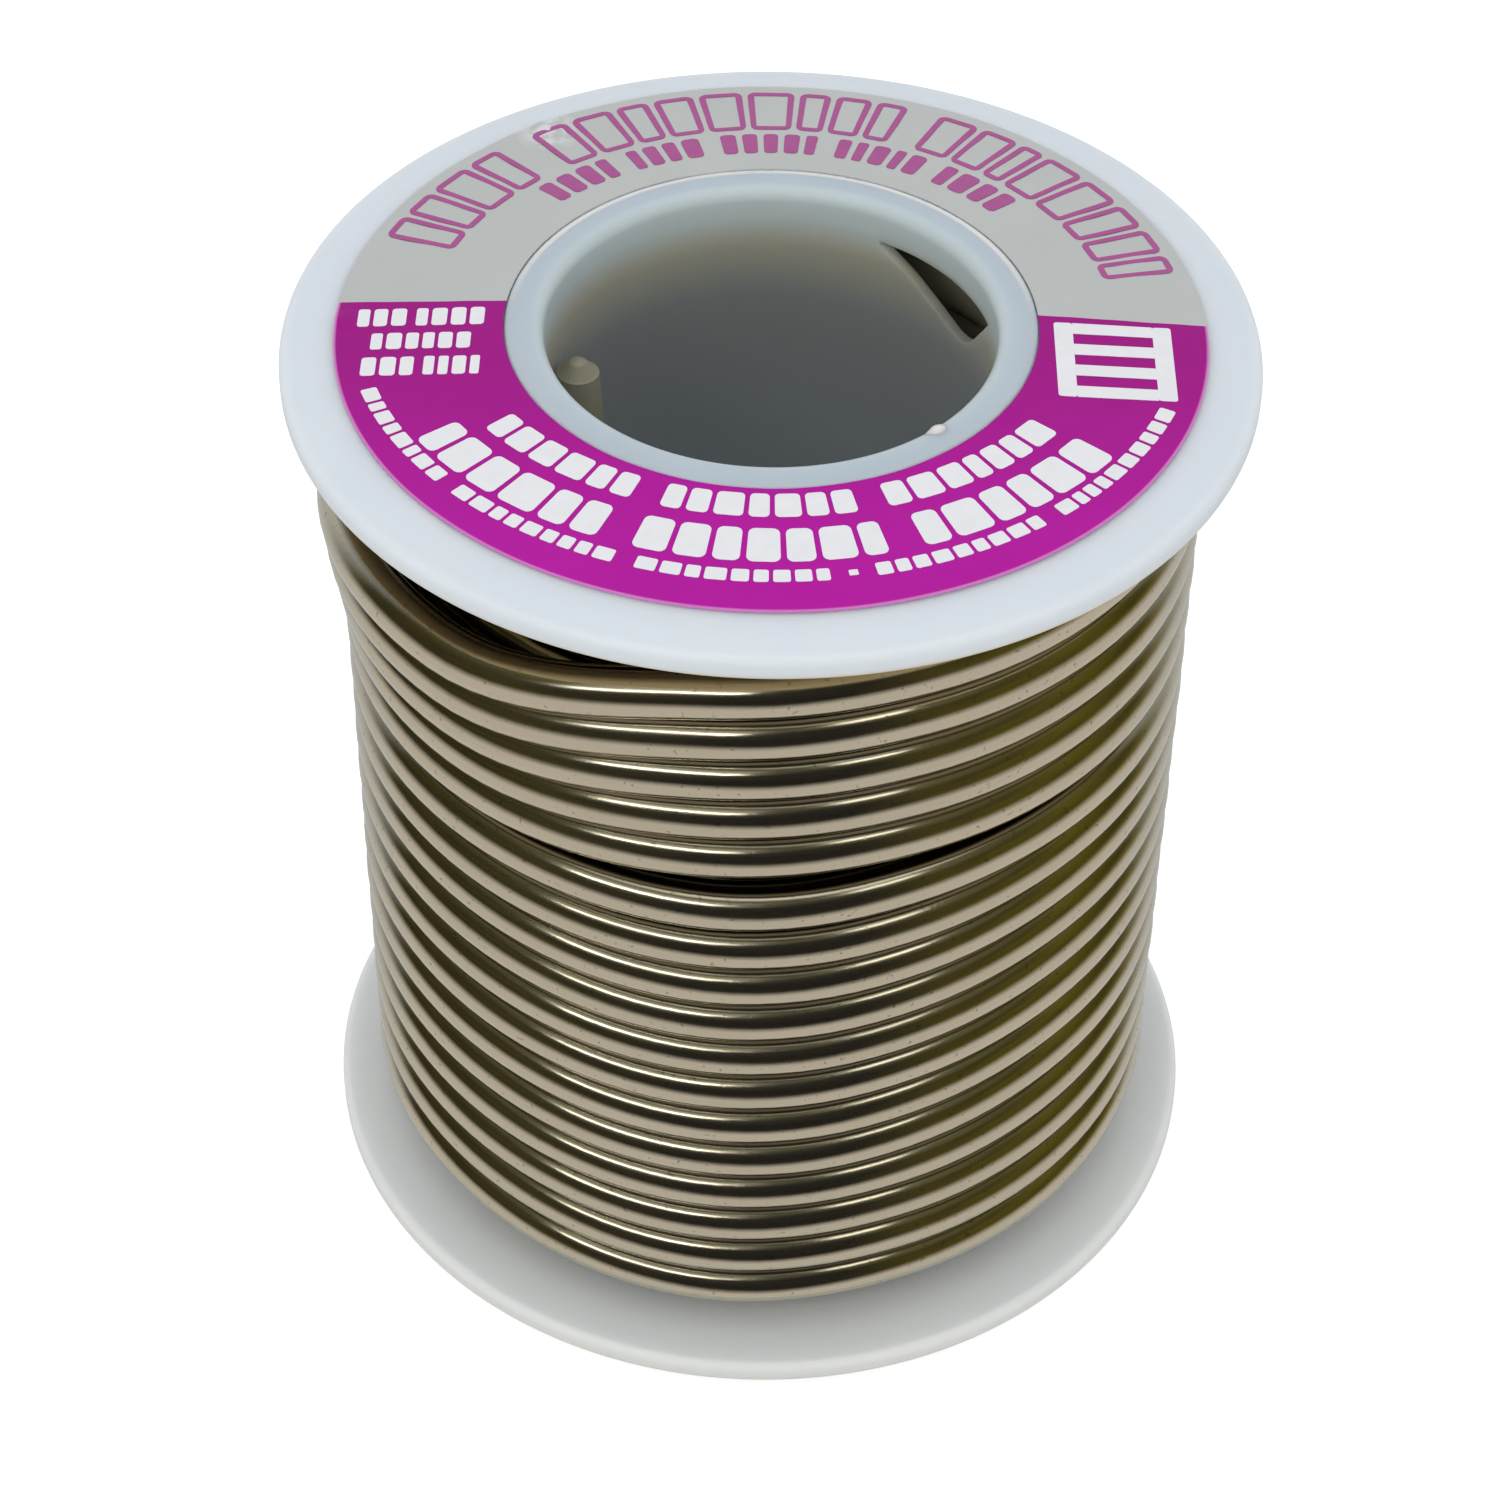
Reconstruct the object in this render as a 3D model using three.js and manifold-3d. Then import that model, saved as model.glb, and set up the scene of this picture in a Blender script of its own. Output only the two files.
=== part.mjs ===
// Spool of solder wire, standing on one end.
// Millimetres, +Z up along the spool's axis, origin on the axis in the plane it stands on.
// A double-walled hub (a bore tube inside a winding barrel) carries two flange discs.
// One strand of solder is wound round the barrel in three layers of side-by-side turns.
import * as THREE from 'three';
import Module from 'manifold-3d';
import { mergeVertices } from 'three/addons/utils/BufferGeometryUtils.js';

// Driving dimensions
const WIRE_DIAMETER = 3.175;          // 1/8 inch solder
const FLANGE_RADIUS = 30.2;
const FLANGE_THICKNESS = 1.6;
const FLANGE_SPAN = 64.5;             // outside of one flange to outside of the other, at their rims
const EDGE_RISE = 0.6;                // each flange's outer face bulges this much by the label's edge
const HUB_RISE = 1.1;                 // and this much by the hub
const RING_PROUD = 1.3;               // the bore tube's end rings stand this far past the flanges' rims
const BORE_RADIUS = 13.95;
const RING_RADIUS = 16.4;             // outside of the bore tube's end rings
const BORE_WALL = 1.25;               // wall of the bore tube between its end rings
const BARREL_INNER_RADIUS = 16.9;
const BARREL_RADIUS = 18.3;
const LABEL_RADIUS = 26.8;
const LABEL_THICKNESS = 0.12;
const TURNS = 17.53;                  // turns of the outer layer
const PITCH = 3.185;
const LOWEST_TURN = 0.55;             // the outer layer starts this far above the bottom flange
const LOOSE_TURN = 11.5;              // one turn is loose at the front, so those above it are raised there
const PLAY_BELOW = 0.6;
const PLAY_ABOVE = 1.05;
const PLAY_AZIMUTH = -88;
const PLAY_SPREAD = 80;               // the play closes this many degrees either side of its azimuth
const BULGE = 1.3;                    // the last two turns ride this far out at the left
const BULGE_AZIMUTH = -165;
const BULGE_SPREAD = 75;

// Gaps and fineness
const FACE_GAP = 0.05;                // between flat faces that touch
const ROUND_GAP = 0.1;                // between round faces that fit in each other
const EDGE_ROUND = 0.5;
const LIP_ROUND = 0.7;
const ARC_STEPS = 2;
const ROUND_STEPS = 48;
const WIRE_SIDES = 8;
const STEPS_PER_TURN = 24;
const TAIL_STEPS = 36;

// Worked out from the driving dimensions
const TOTAL_HEIGHT = FLANGE_SPAN + 2 * RING_PROUD;
const LOWER_FACE = RING_PROUD + FLANGE_THICKNESS;
const UPPER_FACE = TOTAL_HEIGHT - LOWER_FACE;
const WIRE_RADIUS = WIRE_DIAMETER / 2;
const SECTION_RADIUS = WIRE_RADIUS - 0.03;
const LAYER_STEP = 0.9 * WIRE_DIAMETER;
const INNER_LAYER = BARREL_RADIUS + ROUND_GAP + WIRE_RADIUS;
const MIDDLE_LAYER = INNER_LAYER + LAYER_STEP;
const OUTER_LAYER = MIDDLE_LAYER + LAYER_STEP;
const TAIL_RADIUS = BORE_RADIUS - WIRE_RADIUS - 0.3;
const TAIL_TOP = TOTAL_HEIGHT - 4.8;

// Openings in the hub: one under the top flange, and one over the bottom flange for the wire's start.
// The upper one is larger and further round in the barrel than in the bore tube.
const UPPER_OPENING = { azimuth: 38, halfWidth: 5.4, height: 4.2 };
const UPPER_BARREL_OPENING = { azimuth: 46, halfWidth: 7.2, height: 8.2 };
const LOWER_OPENING = { azimuth: 195, halfWidth: 7.2, height: 4.9 };
const TAIL_AZIMUTH = 170;             // the wire's start stands against the bore's wall here

const wasm = await Module();
wasm.setup();

const PLASTIC = new THREE.MeshStandardMaterial({ color: 0xe4e9ee, roughness: 0.35, metalness: 0 });
const FOIL = new THREE.MeshStandardMaterial({ color: 0xb51ca0, roughness: 0.3, metalness: 0.6 });
const SOLDER = new THREE.MeshStandardMaterial({ color: 0xa8a08c, roughness: 0.25, metalness: 1 });

function radians(degrees) {
  return THREE.MathUtils.degToRad(degrees);
}

// A point given by its distance from the axis, its azimuth in degrees and its height.
function polar(radius, azimuth, height) {
  const angle = radians(azimuth);
  return new THREE.Vector3(radius * Math.cos(angle), radius * Math.sin(angle), height);
}

// A quarter round of a profile, from one angle to the other, round a centre.
function corner(centreRadius, centreHeight, round, fromDegrees) {
  const points = [];
  for (let step = 0; step <= ARC_STEPS; step += 1) {
    const angle = radians(fromDegrees + (90 * step) / ARC_STEPS);
    const radius = centreRadius + round * Math.cos(angle);
    points.push(new THREE.Vector2(radius, centreHeight + round * Math.sin(angle)));
  }
  return points;
}

// Turns a closed profile of (radius, height) points round the spool's axis.
function turned(profile) {
  const closed = [...profile, profile[0].clone()];
  return new THREE.LatheGeometry(closed, ROUND_STEPS).rotateX(Math.PI / 2);
}

// A plain sleeve between two radii and two heights.
function sleeve(innerRadius, outerRadius, low, high) {
  return turned([
    new THREE.Vector2(innerRadius, low),
    new THREE.Vector2(outerRadius, low),
    new THREE.Vector2(outerRadius, high),
    new THREE.Vector2(innerRadius, high),
  ]);
}

function toSolid(geometry) {
  const bare = geometry.clone();
  bare.deleteAttribute('normal');
  bare.deleteAttribute('uv');
  const merged = mergeVertices(bare, 1e-5);
  return new wasm.Manifold(new wasm.Mesh({
    numProp: 3,
    vertProperties: new Float32Array(merged.attributes.position.array),
    triVerts: new Uint32Array(merged.index.array),
  }));
}

function toGeometry(solid) {
  const mesh = solid.getMesh();
  const geometry = new THREE.BufferGeometry();
  geometry.setAttribute('position', new THREE.BufferAttribute(mesh.vertProperties, 3));
  geometry.setIndex(new THREE.BufferAttribute(mesh.triVerts, 1));
  return geometry;
}

// The cutter of one hub opening: flat along the flange, bowed on the other side.
// upward is +1 where the bow points up, and -1 where it points down.
function openingCutter(opening, flatHeight, upward) {
  const { azimuth, halfWidth, height } = opening;
  const outline = new THREE.Shape();
  outline.moveTo(-halfWidth, 0);
  outline.lineTo(halfWidth, 0);
  outline.bezierCurveTo(halfWidth, height, halfWidth * 0.4, height, 0, height);
  outline.bezierCurveTo(-halfWidth * 0.4, height, -halfWidth, height, -halfWidth, 0);
  const depth = BARREL_RADIUS + 2 - BORE_RADIUS / 2;
  const cutter = new THREE.ExtrudeGeometry(outline, { depth, curveSegments: 5, bevelEnabled: false });
  if (upward < 0) {
    cutter.rotateZ(Math.PI);
  }
  cutter.rotateX(Math.PI / 2);
  cutter.rotateZ(Math.PI);
  cutter.translate(0, BORE_RADIUS / 2, flatHeight);
  return cutter.rotateZ(radians(azimuth - 90));
}

function withOpenings(geometry, upperOpening) {
  const upper = toSolid(openingCutter(upperOpening, UPPER_FACE - 0.1, -1));
  const lower = toSolid(openingCutter(LOWER_OPENING, LOWER_FACE + 0.1, 1));
  return toGeometry(toSolid(geometry).subtract(upper).subtract(lower));
}

// Bore tube: thin between the flanges, with a rounded ring at each end that the flange fits round.
function boreTube() {
  const shoulder = BORE_RADIUS + BORE_WALL;
  return withOpenings(turned([
    ...corner(BORE_RADIUS + LIP_ROUND, LIP_ROUND, LIP_ROUND, 180),
    ...corner(RING_RADIUS - EDGE_ROUND, EDGE_ROUND, EDGE_ROUND, 270),
    new THREE.Vector2(RING_RADIUS, LOWER_FACE),
    new THREE.Vector2(shoulder, LOWER_FACE),
    new THREE.Vector2(shoulder, UPPER_FACE),
    new THREE.Vector2(RING_RADIUS, UPPER_FACE),
    ...corner(RING_RADIUS - EDGE_ROUND, TOTAL_HEIGHT - EDGE_ROUND, EDGE_ROUND, 0),
    ...corner(BORE_RADIUS + LIP_ROUND, TOTAL_HEIGHT - LIP_ROUND, LIP_ROUND, 90),
  ]), UPPER_OPENING);
}

// Winding barrel: the outer wall of the hub, which the solder is wound on.
function windingBarrel() {
  const low = LOWER_FACE + FACE_GAP;
  const high = UPPER_FACE - FACE_GAP;
  return withOpenings(sleeve(BARREL_INNER_RADIUS, BARREL_RADIUS, low, high), UPPER_BARREL_OPENING);
}

// Flange: a disc with a rounded rim, round one end ring of the bore tube.
// Its outer face bulges towards the hub. upper is 1 if that face is on top, and 0 if it is below.
function flange(low, upper) {
  const lower = 1 - upper;
  const high = low + FLANGE_THICKNESS;
  const rim = FLANGE_RADIUS - EDGE_ROUND;
  const hole = RING_RADIUS + ROUND_GAP;
  return turned([
    new THREE.Vector2(hole, low - lower * HUB_RISE),
    new THREE.Vector2(LABEL_RADIUS, low - lower * EDGE_RISE),
    ...corner(rim, low + EDGE_ROUND, EDGE_ROUND, 270),
    ...corner(rim, high - EDGE_ROUND, EDGE_ROUND, 0),
    new THREE.Vector2(LABEL_RADIUS, high + upper * EDGE_RISE),
    new THREE.Vector2(hole, high + upper * HUB_RISE),
  ]);
}

// The label follows the bulge of the top flange.
function label() {
  const low = TOTAL_HEIGHT - RING_PROUD + FACE_GAP;
  const hole = RING_RADIUS + ROUND_GAP;
  return turned([
    new THREE.Vector2(hole, low + HUB_RISE),
    new THREE.Vector2(LABEL_RADIUS, low + EDGE_RISE),
    new THREE.Vector2(LABEL_RADIUS, low + EDGE_RISE + LABEL_THICKNESS),
    new THREE.Vector2(hole, low + HUB_RISE + LABEL_THICKNESS),
  ]);
}

// 1 at the middle azimuth, and 0 from spread degrees either side of it.
function hump(azimuth, middle, spread) {
  const away = Math.abs(THREE.MathUtils.euclideanModulo(azimuth - middle + 180, 360) - 180);
  return away < spread ? Math.cos((Math.PI / 2) * (away / spread)) ** 2 : 0;
}

// Centre line of the outer layer. It starts low at the back and climbs anticlockwise seen from above.
class OuterTurns extends THREE.Curve {
  getPoint(t, target = new THREE.Vector3()) {
    const turn = t * TURNS;
    const azimuth = 90 + 360 * turn;
    const { smoothstep } = THREE.MathUtils;
    const play = PLAY_BELOW * smoothstep(turn, LOOSE_TURN - 0.8, LOOSE_TURN - 0.3)
      + PLAY_ABOVE * smoothstep(turn, LOOSE_TURN + 0.3, LOOSE_TURN + 0.8);
    const climbed = LOWER_FACE + WIRE_RADIUS + LOWEST_TURN + PITCH * turn;
    const raised = climbed + play * hump(azimuth, PLAY_AZIMUTH, PLAY_SPREAD);
    const height = Math.min(raised, UPPER_FACE - WIRE_RADIUS - FACE_GAP);
    const bulging = smoothstep(turn, TURNS - 1.6, TURNS - 1.4);
    const bulge = BULGE * bulging * hump(azimuth, BULGE_AZIMUTH, BULGE_SPREAD);
    const end = 0.8 * smoothstep(turn, TURNS - 0.3, TURNS);
    return target.copy(polar(OUTER_LAYER + Math.max(bulge, end), azimuth, height));
  }
}

// Solder swept along a centre line, with a round section and flat cut ends.
function swept(curve, steps) {
  const section = new THREE.Shape();
  for (let side = 0; side < WIRE_SIDES; side += 1) {
    const angle = (2 * Math.PI * side) / WIRE_SIDES;
    const move = side === 0 ? 'moveTo' : 'lineTo';
    section[move](SECTION_RADIUS * Math.cos(angle), SECTION_RADIUS * Math.sin(angle));
  }
  curve.arcLengthDivisions = 20 * steps;
  return new THREE.ExtrudeGeometry(section, { steps, extrudePath: curve, bevelEnabled: false });
}

function outerLayer() {
  return swept(new OuterTurns(), Math.round(TURNS * STEPS_PER_TURN));
}

// The buried layers, each a plain sleeve of its own turns' thickness.
function buriedLayer(innerRadius, outerRadius) {
  const low = LOWER_FACE + FACE_GAP;
  const high = UPPER_FACE - FACE_GAP;
  return sleeve(innerRadius, outerRadius, low, high);
}

// The start of the strand: in through the hub's lower opening, then up against the bore's wall.
function startTail() {
  const low = LOWER_FACE + WIRE_RADIUS + 0.3;
  return swept(new THREE.CatmullRomCurve3([
    polar(BARREL_INNER_RADIUS - 0.5, TAIL_AZIMUTH + 37, low),
    polar(BARREL_INNER_RADIUS - 1.6, TAIL_AZIMUTH + 26, low + 0.1),
    polar(BORE_RADIUS - 0.3, TAIL_AZIMUTH + 14, low + 0.5),
    polar(TAIL_RADIUS + 0.1, TAIL_AZIMUTH + 4, low + 3.2),
    polar(TAIL_RADIUS, TAIL_AZIMUTH, low + 8),
    polar(TAIL_RADIUS, TAIL_AZIMUTH, TOTAL_HEIGHT / 2),
    polar(TAIL_RADIUS, TAIL_AZIMUTH, TAIL_TOP),
  ]), TAIL_STEPS);
}

const spool = new THREE.Group();

function addPiece(name, geometry, material) {
  const mesh = new THREE.Mesh(geometry, material);
  mesh.name = name;
  spool.add(mesh);
}

addPiece('bore_tube', boreTube(), PLASTIC);
addPiece('winding_barrel', windingBarrel(), PLASTIC);
addPiece('flange_bottom', flange(RING_PROUD, 0), PLASTIC);
addPiece('flange_top', flange(UPPER_FACE, 1), PLASTIC);
addPiece('label_top', label(), FOIL);
const buriedSplit = (INNER_LAYER + MIDDLE_LAYER) / 2;
const buriedTop = OUTER_LAYER * Math.cos(Math.PI / STEPS_PER_TURN) - WIRE_RADIUS - ROUND_GAP;
addPiece('solder_inner_layer', buriedLayer(BARREL_RADIUS + ROUND_GAP, buriedSplit), SOLDER);
addPiece('solder_middle_layer', buriedLayer(buriedSplit + ROUND_GAP, buriedTop), SOLDER);
addPiece('solder_outer_layer', outerLayer(), SOLDER);
addPiece('solder_start_tail', startTail(), SOLDER);

export default spool;
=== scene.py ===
import math
import random

import bmesh
import bpy
import numpy as np
from mathutils import Matrix, Vector

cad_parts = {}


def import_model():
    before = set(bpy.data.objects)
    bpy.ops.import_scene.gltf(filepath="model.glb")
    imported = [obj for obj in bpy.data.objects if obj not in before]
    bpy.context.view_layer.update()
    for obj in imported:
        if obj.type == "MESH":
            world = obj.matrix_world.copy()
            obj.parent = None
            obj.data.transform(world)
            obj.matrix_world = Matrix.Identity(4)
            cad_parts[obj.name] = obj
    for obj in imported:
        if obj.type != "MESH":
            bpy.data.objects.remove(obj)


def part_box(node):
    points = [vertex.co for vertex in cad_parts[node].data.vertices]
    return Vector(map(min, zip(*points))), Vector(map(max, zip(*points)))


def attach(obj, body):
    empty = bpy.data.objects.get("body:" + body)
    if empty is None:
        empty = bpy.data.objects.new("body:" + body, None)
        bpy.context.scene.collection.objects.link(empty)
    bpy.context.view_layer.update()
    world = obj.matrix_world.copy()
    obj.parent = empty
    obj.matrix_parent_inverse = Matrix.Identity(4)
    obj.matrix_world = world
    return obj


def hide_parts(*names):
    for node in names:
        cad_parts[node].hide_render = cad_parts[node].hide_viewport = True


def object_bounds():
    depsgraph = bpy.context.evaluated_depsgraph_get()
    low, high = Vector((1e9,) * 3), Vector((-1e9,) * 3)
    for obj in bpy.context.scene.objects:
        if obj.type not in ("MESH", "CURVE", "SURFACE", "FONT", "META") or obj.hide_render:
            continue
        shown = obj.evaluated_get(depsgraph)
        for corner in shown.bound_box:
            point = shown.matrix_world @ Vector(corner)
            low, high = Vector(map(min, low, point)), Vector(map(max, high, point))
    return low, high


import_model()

CAD_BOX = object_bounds()

# Lengths below are millimetres. Meshes are made in metres.
MM = 0.001

# Sizes read from the CAD
TOTAL_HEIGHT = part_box("bore_tube")[1].z / MM
RING_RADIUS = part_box("bore_tube")[1].x / MM
BARREL_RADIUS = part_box("winding_barrel")[1].x / MM
LOWER_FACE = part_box("flange_bottom")[1].z / MM
UPPER_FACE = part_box("flange_top")[0].z / MM
FLANGE_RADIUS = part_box("flange_top")[1].x / MM
LABEL_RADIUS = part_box("label_top")[1].x / MM
LABEL_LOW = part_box("label_top")[0].z / MM
LABEL_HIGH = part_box("label_top")[1].z / MM
TAIL_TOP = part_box("solder_start_tail")[1].z / MM

# Sizes that a box can't give
WIRE_RADIUS = 1.5875
BORE_RADIUS = 13.95
BARREL_INNER = 16.9
LABEL_THICKNESS = 0.12
FLANGE_THICKNESS = 1.6
EDGE_RISE = 0.6
HUB_RISE = 1.1
FIT_GAP = 0.02
LIP_ROUND = 0.8
BORE_WALL = 0.7
RIM_ROUND = 0.55
HOLE = RING_RADIUS + FIT_GAP

# Fineness
ROUND_STEPS = 256
ARC_STEPS = 8
WIRE_SIDES = 22
OUTER_STEPS = 110
BURIED_STEPS = 40

# The layers of solder: how far their centre lines are from the axis.
OUTER_LAYER = 25.7
MIDDLE_LAYER = 22.845
INNER_LAYER = 19.99

# The outer layer's turns are counted from azimuth 90, at the bottom, and climb anticlockwise. The lifts and
# drops say how far the hand-laid turns are off an even helix, and the slits widen it round the loose turn.
OUTER_TURNS = 17.15
PITCH = 3.2
FIRST_HEIGHT = LOWER_FACE + WIRE_RADIUS + 0.55
SLIT_LOW = 0.55
SLIT_HIGH = 0.95
SAG = 0.4
LEFT_LIFT = 1.5
LEFT_DROP = 0.9
LEFT_CROWDING = 0.3
RIGHT_LIFT = 1.3
RIGHT_TOP_LIFT = 0.5
FLARE = 1.7
TAIL_AZIMUTH = 170

# The hub. Azimuths are degrees anticlockwise from +X.
OPENING_AZIMUTH = 37.5
BARREL_OPENING_AZIMUTH = 46
LOWER_OPENING_AZIMUTH = TAIL_AZIMUTH + 25
GATE_AZIMUTH = -46.8

# The view. Angles are radians, the distance is metres.
CAMERA_DISTANCE = 0.25668
CAMERA_ELEVATION = 0.7386
CAMERA_ROLL = 0.016
CAMERA_PAN = 0.0038
CAMERA_TILT = 0.0067
CAMERA_LENS = 91.58
LAMP_DISTANCE = 0.8


def smooth(value, low, high):
    """0 below low, 1 above high, and an even ease between them."""
    share = np.clip((value - low) / (high - low), 0, 1)
    return share * share * (3 - 2 * share)


def polar(radius, azimuth, height):
    angle = math.radians(azimuth)
    return (radius * math.cos(angle), radius * math.sin(angle), height)


# ---- Mesh helpers ----

def new_object(name, vertices, faces, sharp_angle=35):
    """An object from points in millimetres, smooth except at edges sharper than sharp_angle."""
    mesh = bpy.data.meshes.new(name)
    mesh.from_pydata([(x * MM, y * MM, z * MM) for x, y, z in vertices], [], faces)
    mesh.validate()
    piece = bpy.data.objects.new(name, mesh)
    bpy.context.scene.collection.objects.link(piece)
    finish_normals(piece, sharp_angle)
    return piece


def finish_normals(piece, sharp_angle=35):
    build = bmesh.new()
    build.from_mesh(piece.data)
    bmesh.ops.recalc_face_normals(build, faces=build.faces)
    build.to_mesh(piece.data)
    build.free()
    piece.data.shade_smooth()
    piece.data.set_sharp_from_angle(angle=math.radians(sharp_angle))


def rounded(corners):
    """A closed profile from (radius, height, rounding) corners, with an arc at each rounded one."""
    profile = []
    count = len(corners)
    for index, (x, y, size) in enumerate(corners):
        here = np.array((x, y))
        if size == 0:
            profile.append(tuple(here))
            continue
        before = np.array(corners[index - 1][:2]) - here
        after = np.array(corners[(index + 1) % count][:2]) - here
        before /= np.linalg.norm(before)
        after /= np.linalg.norm(after)
        half = math.acos(np.clip(np.dot(before, after), -1, 1)) / 2
        reach = size / math.tan(half)
        middle = before + after
        centre = here + middle / np.linalg.norm(middle) * (size / math.sin(half))
        start = here + before * reach - centre
        turn = math.pi - 2 * half
        sign = 1 if before[0] * after[1] - before[1] * after[0] < 0 else -1
        profile.append(tuple(here + before * reach * 1.12))
        for step in range(ARC_STEPS + 1):
            angle = sign * turn * step / ARC_STEPS
            spun = (start[0] * math.cos(angle) - start[1] * math.sin(angle),
                    start[0] * math.sin(angle) + start[1] * math.cos(angle))
            profile.append((centre[0] + spun[0], centre[1] + spun[1]))
        profile.append(tuple(here + after * reach * 1.12))
    return profile


def turned(name, profile, steps=ROUND_STEPS, shift=None):
    """A closed (radius, height) profile turned round the axis. shift(azimuth, radius) lifts its points."""
    vertices = []
    for step in range(steps):
        azimuth = 360 * step / steps
        for radius, height in profile:
            lift = shift(azimuth, radius) if shift else 0
            vertices.append(polar(radius, azimuth, height + lift))
    count = len(profile)
    faces = []
    for step in range(steps):
        here = step * count
        there = ((step + 1) % steps) * count
        for index in range(count):
            follow = (index + 1) % count
            faces.append((here + index, there + index, there + follow, here + follow))
    return new_object(name, vertices, faces)


def cut_by(piece, outline, azimuth, reach):
    """Cuts an opening through the wall at an azimuth. outline is (sideways, height) points."""
    near, far = reach
    angle = math.radians(azimuth)
    outward = (math.cos(angle), math.sin(angle))
    aside = (-outward[1], outward[0])
    vertices = []
    for depth in (near, far):
        for along, height in outline:
            x = outward[0] * depth + aside[0] * along
            y = outward[1] * depth + aside[1] * along
            vertices.append((x, y, height))
    count = len(outline)
    faces = [tuple(range(count)), tuple(range(count, 2 * count))]
    faces += [(i, (i + 1) % count, count + (i + 1) % count, count + i) for i in range(count)]
    cutter = new_object("cutter", vertices, faces)
    cut = piece.modifiers.new("cut", "BOOLEAN")
    cut.operation = "DIFFERENCE"
    cut.solver = "EXACT"
    cut.object = cutter
    apply_modifiers(piece)
    bpy.data.objects.remove(cutter)


def apply_modifiers(piece):
    ready = piece.evaluated_get(bpy.context.evaluated_depsgraph_get())
    mesh = bpy.data.meshes.new_from_object(ready)
    piece.modifiers.clear()
    piece.data = mesh


def spline(points, steps):
    """A Catmull-Rom curve through the points, with so many steps between each pair."""
    knots = np.array(points, dtype=float)
    knots = np.vstack((2 * knots[0] - knots[1], knots, 2 * knots[-1] - knots[-2]))
    curve = []
    for index in range(1, len(knots) - 2):
        a, b, c, d = knots[index - 1:index + 3]
        for step in range(steps):
            t = step / steps
            curve.append(0.5 * (2 * b + (c - a) * t + (2 * a - 5 * b + 4 * c - d) * t ** 2
                                + (3 * b - a - 3 * c + d) * t ** 3))
    curve.append(knots[-2])
    return np.array(curve)


def swept_wire(name, path, radii):
    """A round wire along a path of points. UV runs along the wire in centimetres and once round it."""
    tangent = np.gradient(path, axis=0)
    tangent /= np.linalg.norm(tangent, axis=1)[:, None]
    inward = -path * (1, 1, 0)
    inward -= (inward * tangent).sum(axis=1)[:, None] * tangent
    inward /= np.linalg.norm(inward, axis=1)[:, None]
    side = np.cross(tangent, inward)
    angles = np.arange(WIRE_SIDES) * 2 * math.pi / WIRE_SIDES
    rings = (path[:, None, :]
             + radii[:, None, None] * (np.cos(angles)[None, :, None] * inward[:, None, :]
                                       + np.sin(angles)[None, :, None] * side[:, None, :]))
    count = len(path)
    faces = []
    for ring in range(count - 1):
        low = ring * WIRE_SIDES
        for index in range(WIRE_SIDES):
            follow = (index + 1) % WIRE_SIDES
            faces.append((low + index, low + follow, low + WIRE_SIDES + follow, low + WIRE_SIDES + index))
    faces.append(tuple(reversed(range(WIRE_SIDES))))
    faces.append(tuple(range((count - 1) * WIRE_SIDES, count * WIRE_SIDES)))
    piece = new_object(name, rings.reshape(-1, 3).tolist(), faces, 60)
    along = np.concatenate(([0], np.cumsum(np.linalg.norm(np.diff(path, axis=0), axis=1)))) / 10
    layer = piece.data.uv_layers.new(name="UVMap")
    loops = np.zeros(len(piece.data.loops), dtype=int)
    piece.data.loops.foreach_get("vertex_index", loops)
    ring = loops // WIRE_SIDES
    turn = loops % WIRE_SIDES
    starts = np.zeros(len(piece.data.polygons), dtype=int)
    sizes = np.zeros(len(piece.data.polygons), dtype=int)
    piece.data.polygons.foreach_get("loop_start", starts)
    piece.data.polygons.foreach_get("loop_total", sizes)
    face_of = np.repeat(np.arange(len(starts)), sizes)
    highest = np.zeros(len(starts), dtype=int)
    np.maximum.at(highest, face_of, turn)
    wraps = (highest[face_of] == WIRE_SIDES - 1) & (turn == 0)
    coordinates = np.stack((along[ring], (turn + wraps * WIRE_SIDES) / WIRE_SIDES), axis=1)
    layer.data.foreach_set("uv", coordinates.astype(np.float32).ravel())
    return piece


# ---- Solder ----

def swing(turn):
    """Degrees travelled past the front, from -180 at the back to 180 at the back again."""
    return 360 * (turn % 1 - 0.5)


def uneven(turn):
    """How far the hand-laid outer turns are off an even helix. They are lower at the front than at the sides.

    At the left the upper turns are crowded down, and at the right the middle ones stand highest.
    """
    side = swing(turn)
    back_left = smooth(side, -178, -110)
    back_right = 1 - smooth(side, 90, 175)
    left = smooth(-side, 2, 62) * back_left
    left_early = smooth(-side, 0, 42) * back_left
    right = smooth(side, 4, 50) * back_right
    right_early = smooth(side, -8, 22) * back_right
    lower = 1 - smooth(turn, 9.5, 12.5)
    upper = smooth(turn, 11, 13.5)
    middle = smooth(turn, 1, 5.5) * (1 - smooth(turn, 10, 12.5))
    lift = LEFT_LIFT * lower * left
    drop = (LEFT_DROP * upper + LEFT_CROWDING * np.maximum(turn - 13.5, 0)) * left_early
    return lift - drop + RIGHT_LIFT * middle * right + RIGHT_TOP_LIFT * right_early


def outer_height(turn):
    """Height of the outer layer's centre line. One turn at the front has come loose and sags."""
    height = FIRST_HEIGHT + PITCH * turn
    height = height + SLIT_LOW * smooth(turn, 10.7, 11.3)
    height = height + SLIT_HIGH * smooth(turn, 11.7, 12.3)
    height = height - SAG * np.exp(-((turn - 11.5) / 0.07) ** 2)
    return np.minimum(height + uneven(turn), UPPER_FACE - WIRE_RADIUS - 0.05)


def outer_radius(turn):
    """The crowded upper turns stand out at the left."""
    side = swing(turn)
    window = smooth(-side, 8, 45) * (1 - smooth(-side, 60, 125))
    return OUTER_LAYER + FLARE * smooth(turn, 12.3, 17) * window


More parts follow.
